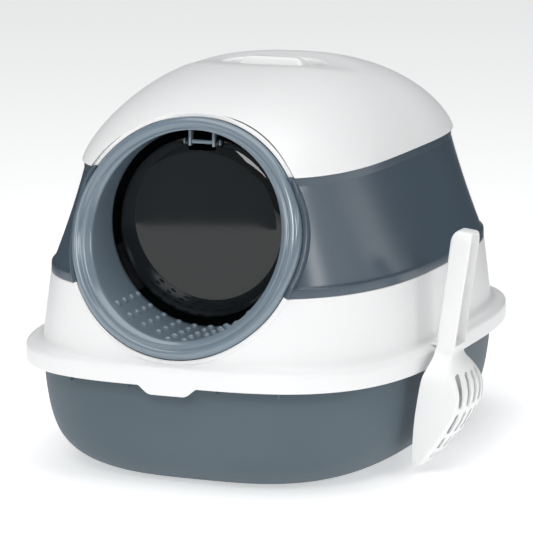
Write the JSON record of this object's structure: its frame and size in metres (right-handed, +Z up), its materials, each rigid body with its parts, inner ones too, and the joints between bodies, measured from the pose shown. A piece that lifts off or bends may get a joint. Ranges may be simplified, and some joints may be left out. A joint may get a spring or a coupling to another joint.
{
  "type": "covered litter box",
  "caption": "Covered cat litter box: rounded grey tub, lift-off domed hood with a grey band, round leaning entry tunnel with a swinging smoked door, recessed carry handle, hanging scoop.",
  "frame": {"origin": "centre of the tub's flat underside, on the floor", "axes": "+Z up, the entry faces -Y, +X is the right side as seen from the front"},
  "size_m": [0.4624, 0.5624, 0.402],
  "materials": {
    "tub_grey": "satin moulded polypropylene, blue grey",
    "shell_white": "satin moulded polypropylene, white",
    "band_grey": "gloss moulded plastic, blue grey",
    "entry_grey": "gloss moulded plastic, blue grey",
    "smoked_clear": "polished see-through plastic, smoked",
    "scoop_white": "satin moulded polypropylene, white"
  },
  "bodies": {
    "tray": {"base_tray": "tub_grey"},
    "hood": {"hood_skirt": "shell_white", "hood_band": "band_grey", "hood_crown": "shell_white", "carry_handle": "shell_white", "entry_tunnel": "entry_grey", "door_pin": "entry_grey"},
    "door": {"door_flap": "smoked_clear"},
    "scoop": {"scoop": "scoop_white"}
  },
  "joints": [
    {"name": "hood_lift", "type": "slide", "parent": "tray", "child": "hood", "axis": [0.1483, 0, 0.9889], "range_m": [0, 0.25]},
    {"name": "door_swing", "type": "hinge", "parent": "hood", "child": "door", "pos_m": [0, -0.1875, 0.3377], "axis": [1, 0, 0], "range_deg": [-45, 75]},
    {"name": "scoop_lift", "type": "slide", "parent": "hood", "child": "scoop", "axis": [0.7071, 0, 0.7071], "range_m": [0, 0.2]}
  ]
}
